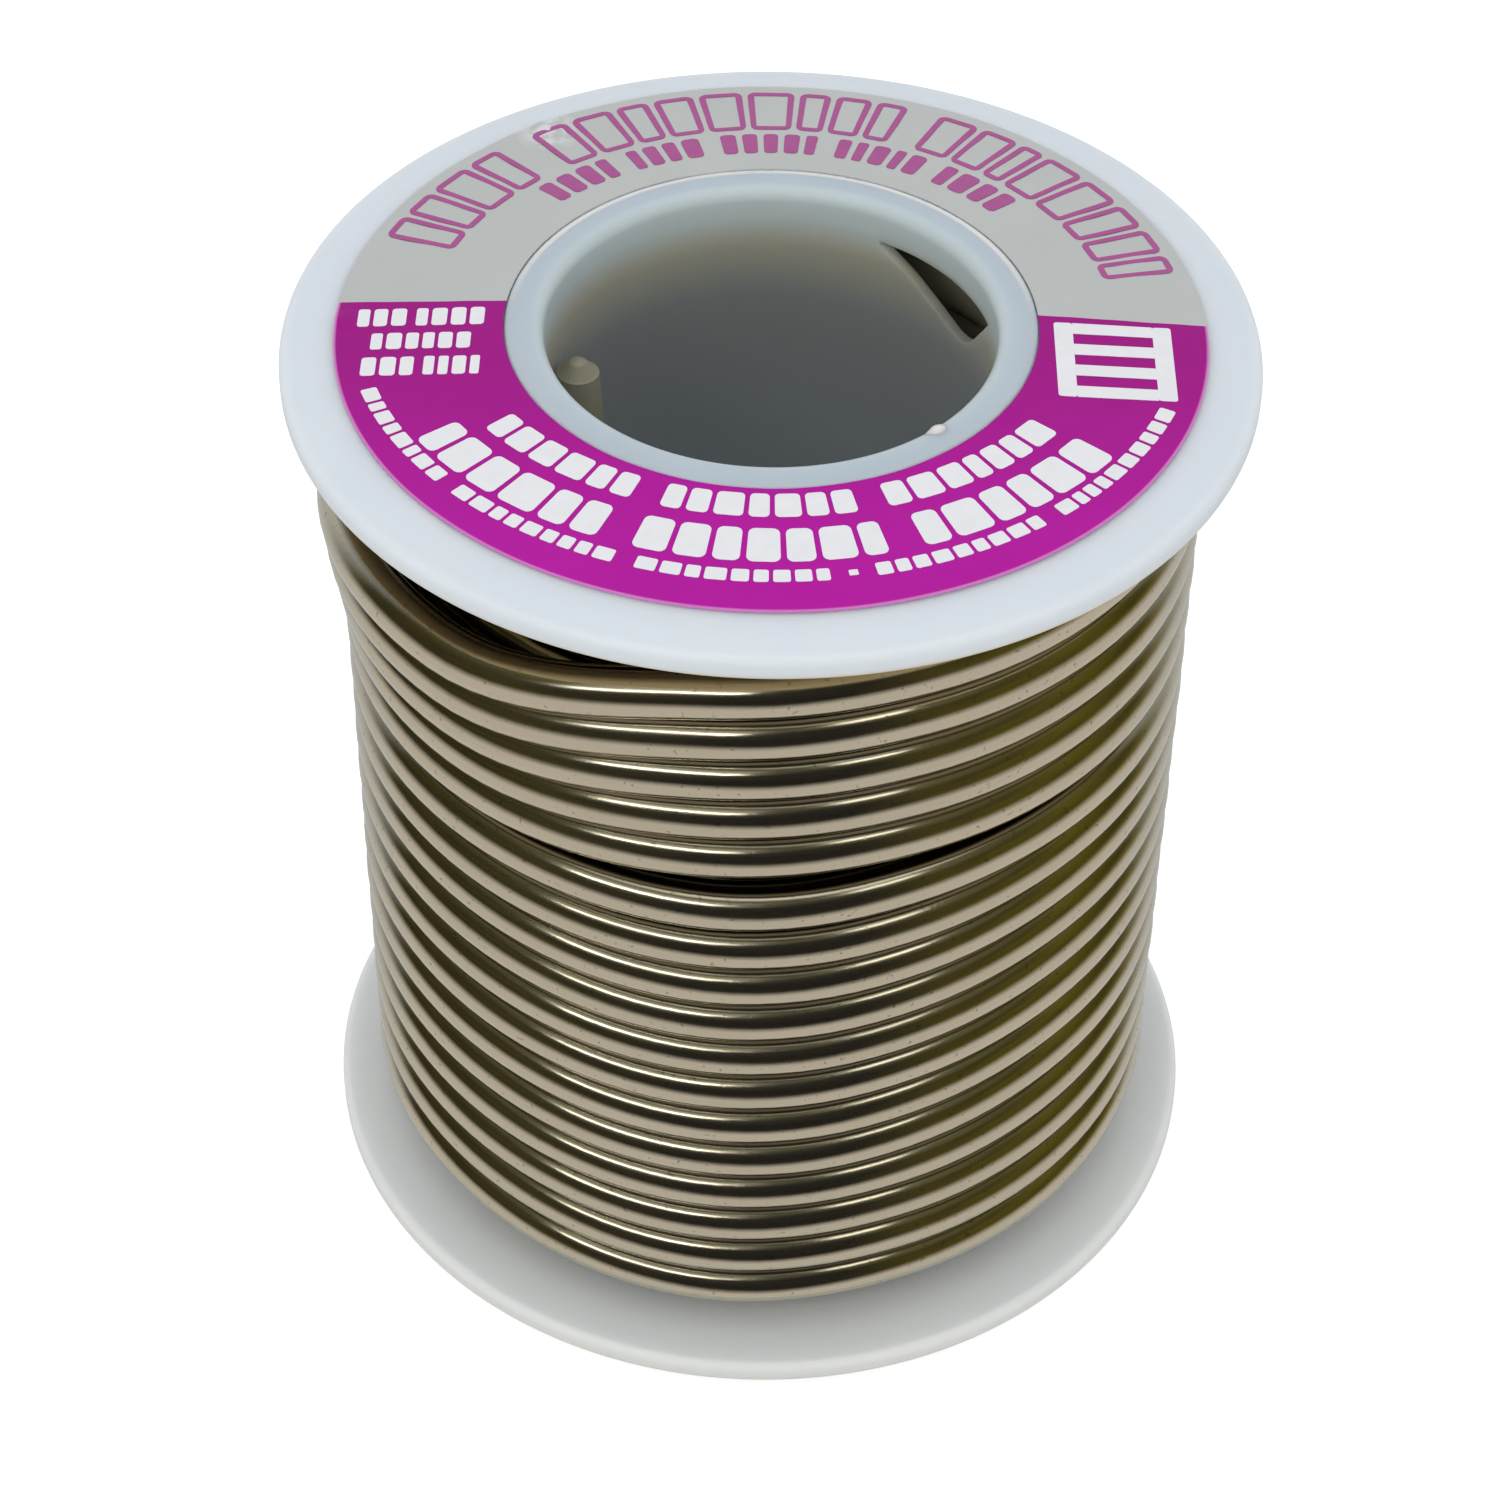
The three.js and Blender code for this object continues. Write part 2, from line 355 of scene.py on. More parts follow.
def wander(turn, seed):
    """A small smooth unevenness along the wire, from -1 to 1."""
    source = random.Random(seed)
    total = np.zeros_like(turn)
    for rate in (1.3, 2.9, 5.3, 9.7):
        total += np.sin(2 * math.pi * (rate * turn + source.random())) / 4
    return total


def helix(radius, azimuth, height):
    angle = np.radians(azimuth)
    return np.stack((radius * np.cos(angle), radius * np.sin(angle), height), axis=1)


def solder_path():
    """The strand's centre line, from its start in the bore through three layers to its end at the top."""
    low = LOWER_FACE + WIRE_RADIUS + 0.3
    high = UPPER_FACE - WIRE_RADIUS - 0.2
    tail_radius = BORE_RADIUS - WIRE_RADIUS - 0.3
    start = spline([
        polar(tail_radius + 0.2, TAIL_AZIMUTH, TAIL_TOP),
        polar(tail_radius + 0.15, TAIL_AZIMUTH + 0.3, TAIL_TOP - 12),
        polar(tail_radius + 0.05, TAIL_AZIMUTH - 0.3, TAIL_TOP - 28),
        polar(tail_radius, TAIL_AZIMUTH, low + 14),
        polar(tail_radius, TAIL_AZIMUTH, low + 8),
        polar(tail_radius + 0.1, TAIL_AZIMUTH + 4, low + 3.2),
        polar(BORE_RADIUS - 0.3, TAIL_AZIMUTH + 14, low + 0.5),
        polar(BARREL_INNER - 1.6, TAIL_AZIMUTH + 26, low + 0.1),
        polar(BARREL_INNER - 0.3, TAIL_AZIMUTH + 35, low),
        polar(BARREL_RADIUS + 0.5, TAIL_AZIMUTH + 44, low),
        polar(INNER_LAYER, TAIL_AZIMUTH + 55, low),
    ], 10)[:-1]
    first_azimuth = TAIL_AZIMUTH + 55
    first_turns = np.linspace(0, 17.7, int(17.7 * BURIED_STEPS))
    first = helix(INNER_LAYER, first_azimuth + 360 * first_turns, low + (high - low) * first_turns / 17.7)
    up_ramp = np.linspace(0, 0.4, 18)[1:]
    ramp_azimuth = first_azimuth + 360 * 17.7
    climb = helix(INNER_LAYER + (MIDDLE_LAYER - INNER_LAYER) * smooth(up_ramp, 0, 0.4),
                  ramp_azimuth + 360 * up_ramp, np.full(len(up_ramp), high))
    second_start = ramp_azimuth + 360 * 0.4
    second_end = 90 + 360 * 36 - 360 * 0.4
    share = np.linspace(0, 1, int((second_end - second_start) / 360 * BURIED_STEPS))[1:]
    second = helix(MIDDLE_LAYER, second_start + (second_end - second_start) * share,
                   high + (FIRST_HEIGHT - high) * share)
    out_ramp = np.linspace(0, 0.4, 30)[1:-1]
    climb_out = helix(MIDDLE_LAYER + (OUTER_LAYER - MIDDLE_LAYER) * smooth(out_ramp, 0, 0.3),
                      second_end + 360 * out_ramp, np.full(len(out_ramp), FIRST_HEIGHT))
    turns = np.linspace(0, OUTER_TURNS, int(OUTER_TURNS * OUTER_STEPS))
    outer = helix(outer_radius(turns) + 0.03 * wander(turns, 4), 90 + 360 * turns,
                  outer_height(turns) + 0.03 * wander(turns, 7))
    return np.vstack((start, first, climb, second, climb_out, outer))


def round_end(path, rounding):
    """Extra points before a path's first one, and their radii, for a softly rounded cut end."""
    direction = path[0] - path[1]
    direction /= np.linalg.norm(direction)
    shares = np.sin(np.linspace(math.pi / 2, 0.15, 11))
    flat = WIRE_RADIUS - rounding
    radii = flat + rounding * np.cos(np.linspace(math.pi / 2, 0.15, 11))
    return path[0] - direction * rounding * shares[:, None], radii


def solder():
    path = solder_path()
    first, first_radii = round_end(path, 1.0)
    last, last_radii = round_end(path[::-1], 0.5)
    keep_start = np.linalg.norm(path - path[0], axis=1) > 1.05
    keep_end = np.linalg.norm(path - path[-1], axis=1) > 0.55
    body = path[keep_start & keep_end]
    whole = np.vstack((first[::-1], body, last))
    radii = np.concatenate((first_radii, np.full(len(body), WIRE_RADIUS), last_radii[::-1]))
    radii = radii * (1 - 0.16 * (1 - smooth(np.linalg.norm(whole - path[0], axis=1), 0, 6)))
    piece = swept_wire("solder_strand", whole, radii)
    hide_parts("solder_inner_layer", "solder_middle_layer", "solder_outer_layer", "solder_start_tail")
    return piece


# ---- Plastic spool ----

def half_moon(half_width, height, top):
    """An opening's outline: flat on top and bowed below."""
    outline = [(-half_width, top), (half_width, top)]
    for step in range(1, 24):
        angle = math.pi * step / 24
        outline.append((half_width * math.cos(angle), top - height * math.sin(angle) ** 0.8))
    return outline


def flipped(outline):
    """The same outline on the bottom flange: flat below and bowed on top."""
    return [(along, 2 * LOWER_FACE - height) for along, height in outline]


def leaning_moon(top):
    """The opening seen in the bore. It is bowed below, and deepest past its middle on the right-hand side."""
    bow = spline([(5.5, 0.3, 0), (4.7, 0.9, 0), (3.4, 1.7, 0), (1.4, 2.9, 0), (-0.9, 3.9, 0),
                  (-2.6, 3.6, 0), (-4.3, 1.6, 0), (-5.5, 0.1, 0)], 4)
    return [(-5.5, top), (5.5, top)] + [(along, top - depth) for along, depth, _ in bow]


def hub_tube():
    """The bore's wall, with a smooth flared lip and a ring at each end."""
    top = TOTAL_HEIGHT
    profile = rounded([
        (BORE_RADIUS, 0, LIP_ROUND),
        (RING_RADIUS, 0, 0.3),
        (RING_RADIUS, LOWER_FACE, 0),
        (BORE_RADIUS + BORE_WALL, LOWER_FACE, 0.2),
        (BORE_RADIUS + BORE_WALL, UPPER_FACE, 0.2),
        (RING_RADIUS, UPPER_FACE, 0),
        (RING_RADIUS, top, 0.3),
        (BORE_RADIUS, top, LIP_ROUND),
    ])
    piece = turned("hub_tube", profile)
    cut_by(piece, leaning_moon(UPPER_FACE + 0.3), OPENING_AZIMUTH, (11, 17.2))
    cut_by(piece, flipped(half_moon(7.2, 4.9, LOWER_FACE)), LOWER_OPENING_AZIMUTH, (11, 17.2))
    finish_normals(piece)
    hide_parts("bore_tube")
    return piece


def barrel():
    low = LOWER_FACE + 0.05
    high = UPPER_FACE - 0.05
    profile = rounded([(BARREL_INNER, low, 0.15), (BARREL_RADIUS, low, 0.15),
                       (BARREL_RADIUS, high, 0.15), (BARREL_INNER, high, 0.15)])
    piece = turned("barrel_wall", profile, 160)
    cut_by(piece, half_moon(7.2, 8.2, UPPER_FACE + 0.3), BARREL_OPENING_AZIMUTH, (13, 20))
    cut_by(piece, flipped(half_moon(7.2, 4.9, LOWER_FACE)), LOWER_OPENING_AZIMUTH, (13, 20))
    finish_normals(piece)
    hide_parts("winding_barrel")
    return piece


def waviness(azimuth, radius):
    """The thin flange isn't quite flat towards its rim."""
    angle = math.radians(azimuth)
    share = (radius - HOLE) / (FLANGE_RADIUS - HOLE)
    return 0.05 * share * (math.sin(2 * angle + 0.6) + 0.5 * math.sin(3 * angle))


def flange(name, node, face, outward):
    """A disc with a crowned outer face. face is its inner face's height. outward is +1 for the top one."""
    rim = face + outward * FLANGE_THICKNESS
    crown = []
    for step in range(9):
        share = step / 8
        radius = LABEL_RADIUS + (FLANGE_RADIUS - RIM_ROUND * 0.9 - LABEL_RADIUS) * share
        crown.append((radius, rim + outward * EDGE_RISE * (1 - share ** 2.2), 0))
    profile = rounded([
        (HOLE, face, 0.1),
        (FLANGE_RADIUS, face, RIM_ROUND),
        (FLANGE_RADIUS, rim - outward * 0.02, RIM_ROUND),
        *reversed(crown[:-1]),
        (HOLE, rim + outward * HUB_RISE, 0.1),
    ])
    piece = turned(name, profile, ROUND_STEPS, waviness)
    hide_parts(node)
    return piece


def gate_mark():
    """The small stub that the moulding's gate left on the ring's inner lip."""
    build = bmesh.new()
    bmesh.ops.create_icosphere(build, subdivisions=4, radius=1)
    place = Vector(polar(14.55, GATE_AZIMUTH, TOTAL_HEIGHT - 0.28))
    spin = Matrix.Rotation(math.radians(GATE_AZIMUTH), 3, "Z")
    for vertex in build.verts:
        x, y, z = vertex.co
        swell = 1 + 0.10 * math.sin(3.1 * x + 1.0) * math.cos(2.3 * y) + 0.06 * math.sin(5 * y + 2 * z)
        shaped = Vector((0.55 * x, 0.85 * y, 0.45 * max(z, -0.7))) * swell
        vertex.co = (spin @ shaped + place) * MM
    mesh = bpy.data.meshes.new("hub_gate_mark")
    build.to_mesh(mesh)
    build.free()
    piece = bpy.data.objects.new("hub_gate_mark", mesh)
    bpy.context.scene.collection.objects.link(piece)
    finish_normals(piece)
    return piece


# ---- Label ----

def label_surface(radius):
    """Height of the label's printed face."""
    share = (radius - HOLE) / (LABEL_RADIUS - HOLE)
    return LABEL_HIGH + (LABEL_LOW + LABEL_THICKNESS - LABEL_HIGH) * share


def crease(azimuth, radius):
    """The foil lifts and wrinkles a little at its outer edge, at the back left."""
    angle = math.radians(azimuth)
    edge = max(0.0, (radius - 24.2) / (LABEL_RADIUS - 24.2)) ** 2
    lift = 0
    for middle, width, size in ((125, 5.5, 0.16), (180, 4.0, 0.12), (171, 2.5, 0.07)):
        away = (azimuth - middle + 180) % 360 - 180
        lift += size * math.exp(-(away / width) ** 2) * (0.6 + 0.4 * math.cos(math.radians(away) * 60))
    return edge * lift + 0.008 * (math.sin(11 * angle + radius) + math.sin(17 * angle - 2 * radius))


def label():
    top = []
    for step in range(25):
        radius = HOLE + (LABEL_RADIUS - HOLE) * step / 24
        top.append((radius, label_surface(radius)))
    bottom = [(radius, height - LABEL_THICKNESS) for radius, height in reversed(top)]
    piece = turned("label_foil_ring", top + bottom, 360, crease)
    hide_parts("label_top")
    return piece


def azimuth_of(x, y):
    return math.degrees(math.atan2(y, x)) % 360


def print_height(x, y):
    radius = math.hypot(x, y)
    return label_surface(radius) + crease(azimuth_of(x, y), radius)


class Print:
    """Thin flat shapes of one ink on the label, gathered in one mesh."""

    def __init__(self):
        self.vertices = []
        self.faces = []

    def add_ring(self, points):
        first = len(self.vertices)
        for x, y in points:
            self.vertices.append((x, y, print_height(x, y) + 0.004))
        for x, y in points:
            self.vertices.append((x, y, print_height(x, y) + 0.03))
        return first

    def solid(self, outline):
        """A filled shape."""
        count = len(outline)
        first = self.add_ring(outline)
        self.faces.append(tuple(range(first, first + count)))
        self.faces.append(tuple(range(first + count, first + 2 * count)))
        for index in range(count):
            follow = (index + 1) % count
            self.faces.append((first + index, first + follow, first + count + follow, first + count + index))

    def outlined(self, outside, inside):
        """A closed line between two outlines of equally many points."""
        count = len(outside)
        outer = self.add_ring(outside)
        inner = self.add_ring(inside)
        for index in range(count):
            follow = (index + 1) % count
            for a, b in ((outer, inner), (outer + count, inner + count), (outer, outer + count),
                         (inner, inner + count)):
                self.faces.append((a + index, a + follow, b + follow, b + index))

    def piece(self, name):
        return new_object(name, self.vertices, self.faces)


def round_box(x0, x1, y0, y1, corner):
    """A rectangle with rounded corners, as many points whatever its size."""
    points = []
    for cx, cy, begin in ((x1 - corner, y1 - corner, 0), (x0 + corner, y1 - corner, 90),
                          (x0 + corner, y0 + corner, 180), (x1 - corner, y0 + corner, 270)):
        for step in range(5):
            angle = math.radians(begin + 90 * step / 4)
            points.append((cx + corner * math.cos(angle), cy + corner * math.sin(angle)))
    return points


def bend(points, radius, azimuth, centre):
    """Wraps points on a straight line round a centre, so that x runs clockwise."""
    bent = []
    for x, y in points:
        angle = math.radians(azimuth - math.degrees(x / radius))
        bent.append((centre[0] + (radius + y) * math.cos(angle), centre[1] + (radius + y) * math.sin(angle)))
    return bent


def word_widths(source, letters, span, gap):
    """Left and right edges of one word's letter-like blocks, filling a span."""
    widths = [source.uniform(0.7, 1.25) for _ in range(letters)]
    scale = (span - gap * (letters - 1)) / sum(widths)
    edges = []
    place = 0
    for width in widths:
        edges.append((place, place + width * scale))
        place += width * scale + gap
    return edges


def arc_words(ink, words, radii, centre, gap, seed, line=0, inward=False):
    """Words along an arc. Each word is (first azimuth, last azimuth, letters). line is an outline's width."""
    source = random.Random(seed)
    low, high = radii
    middle = (low + high) / 2
    half = (high - low) / 2
    for begin, end, letters in words:
        span = math.radians(abs(end - begin)) * middle
        for left, right in word_widths(source, letters, span, gap):
            corner = min(0.3 * (right - left), 0.3 * half, 0.5)
            shape = round_box(left, right, -half, half, corner)
            sign = -1 if inward else 1
            place = [(sign * x, y) for x, y in shape]
            outside = bend(place, middle, begin, centre)
            if line:
                small = max(corner - line, 0.05)
                inner = round_box(left + line, right - line, line - half, half - line, small)
                inside = bend([(sign * x, y) for x, y in inner], middle, begin, centre)
                ink.outlined(outside, inside)
            else:
                ink.solid(outside)


def line_words(ink, words, low, high, gap, seed):
    """Words on a straight line. Each word is (left, right, letters)."""
    source = random.Random(seed)
    for left, right, letters in words:
        for begin, end in word_widths(source, letters, right - left, gap):
            corner = min(0.25 * (end - begin), 0.4)
            ink.solid(round_box(left + begin, left + end, low, high, corner))


def label_print():
    """Plain blocks that stand for lines of print. They form no letters, words or marks."""
    magenta = Print()
    arc_words(magenta, [(160, 134, 4), (128, 70, 9), (65, 14, 8)], (21.3, 26.0), (0, 0), 0.35, 11, 0.40)
    arc_words(magenta, [(137, 122, 4), (118, 104, 4), (100, 82, 5), (78, 61, 5), (57, 41, 4)],
              (18.4, 20.7), (0, 0), 0.4, 12)
    white = Print()
    arc_words(white, [(-141, -112, 6), (-107, -76, 7), (-71, -38, 7)], (19.7, 21.7), (0, 2.8), 0.3, 13,
              inward=True)
    arc_words(white, [(-145, -113, 6), (-108, -74, 7), (-69, -37, 6)], (22.7, 25.5), (0, 2.8), 0.35, 14,
              inward=True)
    arc_words(white, [(-160, -138, 8), (-135, -110, 9), (-107, -82, 9), (-76, -52, 9), (-49, -22, 10)],
              (25.2, 26.2), (0, 1.8), 0.25, 15, inward=True)
    arc_words(white, [(-79.6, -78.4, 1)], (25.5, 25.95), (0, 1.8), 0.1, 16, inward=True)
    line_words(white, [(-25.4, -22.4, 3), (-21.8, -17.6, 4)], -0.75, 1.0, 0.25, 17)
    line_words(white, [(-24.4, -18.3, 6)], -3.1, -1.5, 0.25, 18)
    line_words(white, [(-24.8, -21.6, 3), (-21.0, -17.6, 4)], -5.7, -3.9, 0.25, 19)
    frame_box(white, 17.3, 24.5, -7.0, 0.3)
    magenta_piece = magenta.piece("label_print_magenta")
    white_piece = white.piece("label_print_white")
    return magenta_piece, white_piece


def frame_box(ink, x0, x1, y0, y1):
    """A plain square with three plain bars left open in it."""
    bar = (y1 - y0) * 0.14
    gap = ((y1 - y0) - 3 * bar) / 4
    side = (x1 - x0) * 0.16
    ink.solid(round_box(x0, x0 + side, y0, y1, 0.2))
    ink.solid(round_box(x1 - side, x1, y0, y1, 0.2))
    for index in range(4):
        low = y0 + index * (gap + bar)
        ink.solid(round_box(x0 + side, x1 - side, low, low + gap, 0.02))


# ---- Materials ----

class Nodes:
    """Short ways to add and link a material's nodes."""

    def __init__(self, tree):
        self.tree = tree
        tree.nodes.clear()

    def add(self, kind, settings=None, **inputs):
        item = self.tree.nodes.new(kind)
        for key, value in (settings or {}).items():
            setattr(item, key, value)
        for key, value in inputs.items():
            self.set(item, key.replace("_", " "), value)
        return item

    def set(self, item, name, value):
        socket = item.inputs[int(name)] if name.isdigit() else item.inputs[name]
        if isinstance(value, bpy.types.NodeSocket):
            self.tree.links.new(value, socket)
        else:
            socket.default_value = value

    def math(self, operation, first, second=0.0):
        item = self.add("ShaderNodeMath", {"operation": operation})
        self.set(item, "0", first)
        self.set(item, "1", second)
        return item.outputs[0]

    def mix(self, share, first, second):
        item = self.add("ShaderNodeMix", {"data_type": "RGBA"})
        self.set(item, "0", share)
        self.set(item, "6", first)
        self.set(item, "7", second)
        return item.outputs[2]

    def span(self, value, low, high, to_low, to_high):
        item = self.add("ShaderNodeMapRange")
        for index, part in enumerate((value, low, high, to_low, to_high)):
            self.set(item, str(index), part)
        return item.outputs[0]

    def noise(self, place, scale, detail=3.0, rough=0.55):
        item = self.add("ShaderNodeTexNoise", Scale=scale, Detail=detail, Roughness=rough)
        self.set(item, "Vector", place)
        return item.outputs["Fac"]

    def stretch(self, place, scale):
        item = self.add("ShaderNodeMapping", Scale=scale)
        self.set(item, "Vector", place)
        return item.outputs[0]

    def from_axis(self, place):
        """Distance from the spool's axis."""
        item = self.add("ShaderNodeVectorMath", {"operation": "LENGTH"})
        self.set(item, "0", self.stretch(place, (1, 1, 0)))
        return item.outputs["Value"]

    def bump(self, height, strength, distance):
        item = self.add("ShaderNodeBump", Strength=strength, Distance=distance)
        self.set(item, "Height", height)
        return item.outputs[0]


def material(name):
    made = bpy.data.materials.new(name)
    made.use_nodes = True
    nodes = Nodes(made.node_tree)
    place = nodes.add("ShaderNodeTexCoord")
    shader = nodes.add("ShaderNodeBsdfPrincipled")
    output = nodes.add("ShaderNodeOutputMaterial")
    nodes.set(output, "Surface", shader.outputs[0])
    return made, nodes, place, shader


def waxy(nodes, shader, where, tint):
    """The surface that all the plastic has."""
    marks = nodes.noise(nodes.stretch(where, (600.0, 2500.0, 900.0)), 1.0, 2.0)
    nodes.set(shader, "Base Color", tint)
    nodes.set(shader, "Roughness", nodes.span(marks, 0.3, 0.7, 0.28, 0.40))
    nodes.set(shader, "IOR", 1.51)
    nodes.set(shader, "Subsurface Weight", 0.75)
    nodes.set(shader, "Subsurface Radius", (1.0, 1.1, 1.25))
    nodes.set(shader, "Subsurface Scale", 0.0022)
    grain = nodes.noise(where, 1400.0, 2.0)
    nodes.set(shader, "Normal", nodes.bump(grain, 0.06, 0.0001))


def plastic_material(name, darker, lighter, warm_shade=False):
    """Milky natural polyethylene: waxy and slightly see-through, with faint handling marks.

    Where asked for, the top flange's face towards the wire, and everything lower, gets painted warm shade
    from the wire close to it.
    """
    made, nodes, place, shader = material(name)
    where = place.outputs["Object"]
    parts = nodes.add("ShaderNodeSeparateXYZ", Vector=where)
    cloud = nodes.noise(where, 90.0)
    tint = nodes.mix(cloud, (*darker, 1), (*lighter, 1))
    if warm_shade:
        # painted warm shade below the top flange's inner face, from the wire close by
        warm_shade_mask = nodes.span(parts.outputs[2], (UPPER_FACE + 0.1) * MM, (UPPER_FACE + 0.5) * MM, 1.0, 0.0)
        tint = nodes.mix(warm_shade_mask, tint, (0.80, 0.68, 0.46, 1))
    waxy(nodes, shader, where, tint)
    return made


def hub_material():
    """The same plastic in the hub, with painted light and shade: darker and bluer in the rings, and darker
    down the bore.

    A painted highlight runs along the ring's back outer edge, and the bore wall is painted lighter near its
    top.
    A faint painted glow keeps the middle of the bore an even blue-grey.
    """
    made, nodes, place, shader = material("hub_polyethylene_painted_shade")
    where = place.outputs["Object"]
    parts = nodes.add("ShaderNodeSeparateXYZ", Vector=where)
    radius = nodes.from_axis(where)
    # painted shade: the rings are darker and bluer than the same plastic in the flanges
    tint = nodes.mix(nodes.noise(where, 90.0), (0.46, 0.53, 0.59, 1), (0.51, 0.58, 0.64, 1))
    # painted highlight along the ring's outer edge at the back
    painted_highlight_edge = nodes.span(radius, (RING_RADIUS - 0.6) * MM, (RING_RADIUS - 0.35) * MM, 0.0, 1.0)
    behind = nodes.span(parts.outputs[1], 0.001, 0.009, 0.0, 1.0)
    tint = nodes.mix(nodes.math("MULTIPLY", painted_highlight_edge, behind), tint, (0.97, 0.98, 0.99, 1))
    # painted light: the bore wall is lighter, where the painted shade below doesn't cover it
    bore = nodes.span(radius, BORE_RADIUS * MM, (BORE_RADIUS + 1.0) * MM, 1.0, 0.0)
    tint = nodes.mix(bore, tint, (0.53, 0.60, 0.60, 1))
    # painted shade down the bore, first beige and then dark grey
    middle = TOTAL_HEIGHT / 2 * MM
    off = nodes.math("ABSOLUTE", nodes.math("SUBTRACT", parts.outputs[2], middle))
    warmer = nodes.span(off, middle - 0.0020, middle - 0.0042, 0.0, 1.0)
    darker = nodes.span(off, middle - 0.0038, middle - 0.0080, 0.0, 1.0)
    tint = nodes.mix(warmer, tint, (0.42, 0.405, 0.315, 1))
    tint = nodes.mix(darker, tint, (0.27, 0.285, 0.285, 1))
    waxy(nodes, shader, where, tint)
    # painted glow deeper in the bore, where there is no lamp
    nodes.set(shader, "Emission Color", (0.72, 0.86, 1.0, 1))
    nodes.set(shader, "Emission Strength", nodes.span(off, middle - 0.009, middle - 0.028, 0.0, 0.045))
    return made


def solder_material():
    """Drawn solder wire: bright warm grey metal with fine lines along it, dull patches and small pits.

    Painted shade darkens it where neighbouring turns touch, which is a quarter of the way round from its
    outside.
    The buried layers are dark with painted shade, and the start in the bore is dull and beige.
    """
    made, nodes, place, shader = material("drawn_solder_painted_shade")
    along = place.outputs["UV"]
    where = place.outputs["Object"]
    lines = nodes.noise(nodes.stretch(along, (0.5, 60.0, 1.0)), 1.0, 4.0, 0.6)
    broad = nodes.noise(nodes.stretch(along, (0.9, 3.0, 1.0)), 1.0, 3.0)
    pits = nodes.noise(where, 2600.0, 2.0)
    pitted = nodes.span(pits, 0.66, 0.72, 0.0, 1.0)
    tint = nodes.mix(broad, (0.65, 0.61, 0.50, 1), (0.56, 0.52, 0.41, 1))
    tint = nodes.mix(nodes.math("MULTIPLY", pitted, 0.5), tint, (0.20, 0.17, 0.12, 1))
    # painted shade in the grooves where neighbouring turns touch
    around = nodes.add("ShaderNodeSeparateXYZ", Vector=along).outputs[1]
    off = nodes.math("ABSOLUTE", nodes.math("SUBTRACT", around, 0.5))
    tint = nodes.mix(nodes.span(off, 0.165, 0.20, 0.0, 0.8), tint, (0.10, 0.075, 0.035, 1))
    radius = nodes.from_axis(where)
    # painted shade on the buried layers
    buried = nodes.span(radius, 0.0236, 0.0244, 1.0, 0.0)
    dull = nodes.span(radius, 0.0205, 0.0225, 1.0, 0.0)
    tint = nodes.mix(buried, tint, (0.13, 0.11, 0.07, 1))
    beige = nodes.mix(lines, (0.42, 0.39, 0.29, 1), (0.27, 0.25, 0.18, 1))
    nodes.set(shader, "Base Color", nodes.mix(dull, tint, beige))
    nodes.set(shader, "Metallic", nodes.math("SUBTRACT", 1.0, nodes.math("MULTIPLY", dull, 0.75)))
    smear = nodes.math("ADD", nodes.math("MULTIPLY", broad, 0.05), nodes.math("MULTIPLY", dull, 0.35))
    nodes.set(shader, "Roughness", nodes.math("ADD", nodes.span(lines, 0.3, 0.7, 0.10, 0.16), smear))
    relief = nodes.math("SUBTRACT", lines, nodes.math("MULTIPLY", pitted, 0.8))
    nodes.set(shader, "Normal", nodes.bump(relief, 0.05, 0.00005))
    return made


def foil_material():
    """Metallised foil, printed magenta in front of a straight split and left silver behind it."""
    made, nodes, place, shader = material("printed_foil_painted_light")
    where = place.outputs["Object"]
    parts = nodes.add("ShaderNodeSeparateXYZ", Vector=where)
    across = nodes.math("MULTIPLY", parts.outputs[0], 0.02)
    depth = nodes.math("ADD", parts.outputs[1], across)
    silver = nodes.math("GREATER_THAN", depth, 0.00131)
    cloud = nodes.noise(where, 160.0)
    # painted shade: the magenta is darker at the sides than in front
    aside = nodes.mix(cloud, (0.47, 0.005, 0.30, 1), (0.53, 0.007, 0.35, 1))
    ahead = nodes.mix(cloud, (0.62, 0.010, 0.46, 1), (0.70, 0.013, 0.53, 1))
    red = nodes.mix(nodes.span(parts.outputs[1], -0.003, -0.020, 0.0, 1.0), aside, ahead)
    # painted pink glint along the foil's outer edge
    edge = nodes.span(nodes.from_axis(where), 0.02662, 0.02674, 0.0, 1.0)
    red = nodes.mix(edge, red, (0.95, 0.30, 0.78, 1))
    grey = nodes.mix(cloud, (0.68, 0.70, 0.68, 1), (0.76, 0.78, 0.76, 1))
    # painted white glint at the back left, where the foil creases
    glint_spot = nodes.add("ShaderNodeVectorMath", {"operation": "DISTANCE"}, Vector=where)
    nodes.set(glint_spot, "1", MM * Vector(polar(25.6, 125, LABEL_LOW)))
    painted_glint = nodes.math("MULTIPLY", nodes.span(glint_spot.outputs["Value"], 0.0009, 0.0024, 1.0, 0.0),
                        nodes.span(nodes.noise(where, 900.0), 0.40, 0.56, 0.0, 1.0))
    nodes.set(shader, "Base Color", nodes.mix(painted_glint, nodes.mix(silver, red, grey), (0.98, 0.98, 0.98, 1)))
    nodes.set(shader, "Metallic", 0.8)
    fine = nodes.noise(where, 1100.0, 2.0)
    nodes.set(shader, "Roughness", nodes.span(fine, 0.3, 0.7, 0.27, 0.36))
    ripple = nodes.noise(where, 380.0, 3.0)
    nodes.set(shader, "Normal", nodes.bump(ripple, 0.12, 0.00012))
    return made


def ink_material(name, light, dark, rough):
    """Screen ink with a slightly uneven coat."""
    made, nodes, place, shader = material(name)
    coat = nodes.noise(place.outputs["Object"], 900.0, 3.0)
    nodes.set(shader, "Base Color", nodes.mix(coat, light, dark))
    nodes.set(shader, "Roughness", nodes.span(coat, 0.3, 0.7, rough - 0.05, rough + 0.08))
    nodes.set(shader, "Normal", nodes.bump(coat, 0.05, 0.00005))
    return made


# ---- Stage, light and camera ----

